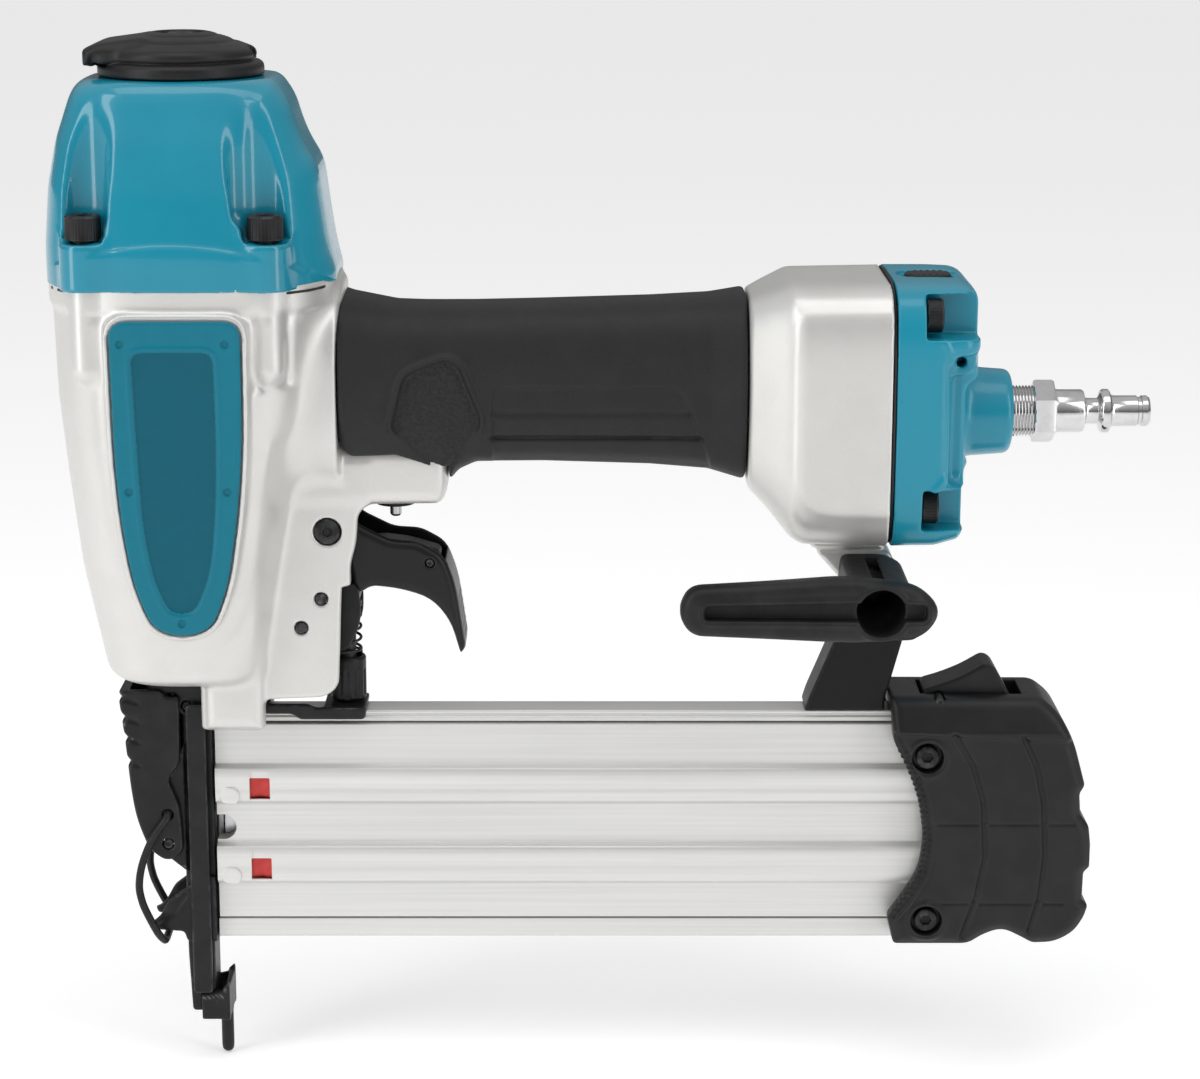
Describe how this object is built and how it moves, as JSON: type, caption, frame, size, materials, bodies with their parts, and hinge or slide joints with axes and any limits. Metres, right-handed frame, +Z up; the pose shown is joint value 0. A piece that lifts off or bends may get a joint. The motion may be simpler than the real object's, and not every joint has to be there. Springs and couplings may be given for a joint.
{
  "type": "pneumatic nail gun",
  "caption": "Pneumatic brad nailer with a rubber grip, trigger, contact foot, sliding side-load magazine, belt hook and air plug.",
  "frame": {"origin": "end of the contact foot, in the middle plane of the tool, where it touches the work", "axes": "+Z up along the driver, +X back along the handle and magazine to the air plug, -Y on the side of the belt hook"},
  "size_m": [0.278, 0.082, 0.2706],
  "materials": {
    "housing_paint": "satin light grey paint on cast magnesium",
    "teal_paint": "gloss teal paint",
    "badge_plastic": "gloss teal moulded badge",
    "grip_rubber": "matt black moulded rubber with a fine grain",
    "hook_rubber": "matt black rubber over steel",
    "bumper_rubber": "black urethane",
    "black_plastic": "black moulded nylon, fine grain",
    "trigger_plastic": "black moulded nylon, smooth",
    "red_plastic": "red moulded plastic",
    "black_steel": "black oxide steel",
    "bracket_paint": "black painted steel",
    "bright_steel": "bright steel",
    "plug_chrome": "bright nickel plate",
    "aluminium": "satin anodised aluminium",
    "gasket": "dark gasket sheet"
  },
  "bodies": {
    "tool": {"housing": "housing_paint", "badge_right": "badge_plastic", "badge_left": "badge_plastic", "grip": "grip_rubber", "cylinder_cap": "teal_paint", "cap_gasket": "gasket", "cap_bolt_1": "black_steel", "cap_bolt_2": "black_steel", "cap_bolt_3": "black_steel", "cap_bolt_4": "black_steel", "exhaust_screw": "black_steel", "end_cap": "teal_paint", "end_gasket": "gasket", "end_cap_bolt_1": "black_steel", "end_cap_bolt_2": "black_steel", "end_cap_bolt_3": "black_steel", "end_cap_bolt_4": "black_steel", "air_plug": "plug_chrome", "cylinder_sleeve": "aluminium", "bumper": "bumper_rubber", "head_valve_spring": "bright_steel", "trigger_pin": "black_steel", "trigger_valve": "black_plastic", "bracket_pin_1": "black_steel", "bracket_pin_2": "black_steel", "safety_spring": "bright_steel", "rod_guide": "black_steel", "driver_guide": "black_steel", "door_pin": "bright_steel", "nose_bolt_1": "black_steel", "nose_bolt_2": "black_steel", "magazine_rail": "aluminium", "support_stay": "bracket_paint", "hook_bracket": "housing_paint", "belt_hook": "hook_rubber", "hook_screw": "black_steel"},
    "exhaust_deflector": {"exhaust_cover": "black_plastic"},
    "piston_and_driver": {"piston": "aluminium", "driver_blade": "bright_steel"},
    "head_valve_body": {"head_valve": "black_plastic"},
    "duster": {"duster_button": "black_plastic"},
    "trigger_body": {"trigger": "trigger_plastic", "trigger_lever_pin": "bright_steel"},
    "contact_lever": {"trigger_lever": "bright_steel"},
    "valve_stem_body": {"valve_stem": "bright_steel"},
    "contact_safety": {"contact_arm": "black_steel", "contact_foot": "black_steel", "safety_rod": "bright_steel"},
    "depth_adjuster": {"depth_wheel": "black_steel"},
    "door": {"nose_door": "black_steel", "latch_lever_pin": "bright_steel"},
    "latch": {"latch_lever": "black_steel"},
    "bail": {"wire_bail": "bright_steel"},
    "magazine_slide": {"magazine_cover": "aluminium", "rear_cap": "black_plastic", "rear_cap_screw_1": "black_steel", "rear_cap_screw_2": "black_steel", "magazine_latch_pin": "bright_steel"},
    "magazine_thumb_latch": {"magazine_latch": "black_plastic"},
    "pusher_body": {"pusher": "red_plastic"}
  },
  "joints": [
    {"name": "exhaust_turn", "type": "hinge", "parent": "tool", "child": "exhaust_deflector", "pos_m": [-0.0047, 0, 0.265], "axis": [0, 0, 1], "continuous": true},
    {"name": "piston_stroke", "type": "slide", "parent": "tool", "child": "piston_and_driver", "axis": [0, 0, -1], "range_m": [0, 0.078]},
    {"name": "head_valve_lift", "type": "slide", "parent": "tool", "child": "head_valve_body", "axis": [0, 0, 1], "range_m": [0, 0.003], "stiffness_N_per_m": 1500, "springref_m": -0.003, "deforming": ["head_valve_spring"]},
    {"name": "duster_press", "type": "slide", "parent": "tool", "child": "duster", "axis": [0, 0, -1], "range_m": [0, 0.002], "stiffness_N_per_m": 800, "springref_m": -0.001},
    {"name": "trigger_pull", "type": "hinge", "parent": "tool", "child": "trigger_body", "pos_m": [0.0303, 0, 0.146], "axis": [0, -1, 0], "range_deg": [0, 8], "stiffness_Nm_per_rad": 0.6, "springref_deg": -8.59},
    {"name": "contact_lever_tilt", "type": "hinge", "parent": "trigger_body", "child": "contact_lever", "pos_m": [0.056, 0, 0.137], "axis": [0, 1, 0], "range_deg": [0, 6], "stiffness_Nm_per_rad": 0.05, "springref_deg": -11.46},
    {"name": "valve_stem_lift", "type": "slide", "parent": "tool", "child": "valve_stem_body", "axis": [0, 0, 1], "range_m": [0, 0.002], "stiffness_N_per_m": 1000, "springref_m": -0.001},
    {"name": "contact_push", "type": "slide", "parent": "tool", "child": "contact_safety", "axis": [0, 0, 1], "range_m": [0, 0.0095], "stiffness_N_per_m": 1500, "springref_m": -0.012, "deforming": ["safety_spring"]},
    {"name": "depth_wheel_turn", "type": "hinge", "parent": "contact_safety", "child": "depth_adjuster", "pos_m": [0.034, 0, 0.1046], "axis": [0, 0, 1], "continuous": true},
    {"name": "latch_throw", "type": "hinge", "parent": "door", "child": "latch", "pos_m": [-0.0132, 0, 0.0613], "axis": [0, -1, 0], "range_deg": [0, 110]},
    {"name": "door_swing", "type": "hinge", "parent": "tool", "child": "door", "pos_m": [-0.0075, 0, 0.0983], "axis": [0, 1, 0], "range_deg": [0, 56]},
    {"name": "bail_swing", "type": "hinge", "parent": "latch", "child": "bail", "pos_m": [-0.013, 0, 0.0695], "axis": [0, -1, 0], "range_deg": [-111, 0]},
    {"name": "magazine_open", "type": "slide", "parent": "tool", "child": "magazine_slide", "axis": [1, 0, 0], "range_m": [0, 0.12]},
    {"name": "magazine_latch_press", "type": "hinge", "parent": "magazine_slide", "child": "magazine_thumb_latch", "pos_m": [0.187, 0, 0.1006], "axis": [0, 1, 0], "range_deg": [0, 8], "stiffness_Nm_per_rad": 0.3, "springref_deg": -8.59},
    {"name": "pusher_travel", "type": "slide", "parent": "magazine_slide", "child": "pusher_body", "axis": [1, 0, 0], "range_m": [0, 0.14], "stiffness_N_per_m": 20, "springref_m": -0.2}
  ],
  "couplings": [
    {"joint": "door_swing", "follows": "latch_throw", "ratio": 0.5},
    {"joint": "bail_swing", "follows": "latch_throw", "ratio": -1}
  ]
}
